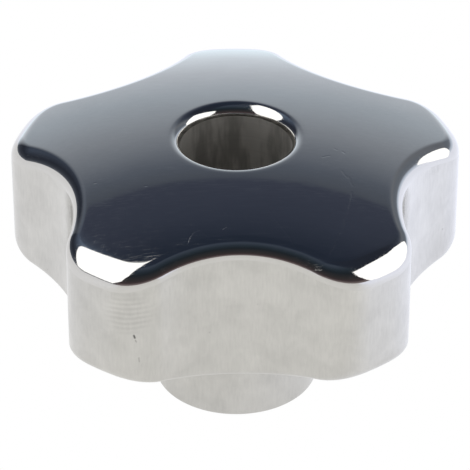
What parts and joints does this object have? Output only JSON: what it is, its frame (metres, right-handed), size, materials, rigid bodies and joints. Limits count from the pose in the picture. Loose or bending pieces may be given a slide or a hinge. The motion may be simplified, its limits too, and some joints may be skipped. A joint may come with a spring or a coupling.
{
  "type": "star knob",
  "caption": "One-piece polished metal star knob with lobed finger grips, a domed crown, a plain through bore with a rounded mouth and a round hub that seats on its flat end.",
  "frame": {"origin": "on the bore axis, in the plane of the flat face that the hub sits on", "axes": "+Z along the bore axis towards the domed crown; +Y along the middle of one lobe"},
  "size_m": [0.0488, 0.0469, 0.0305],
  "materials": {
    "polished_steel": "polished"
  },
  "bodies": {
    "root": {"star_knob": "polished_steel"}
  },
  "joints": []
}
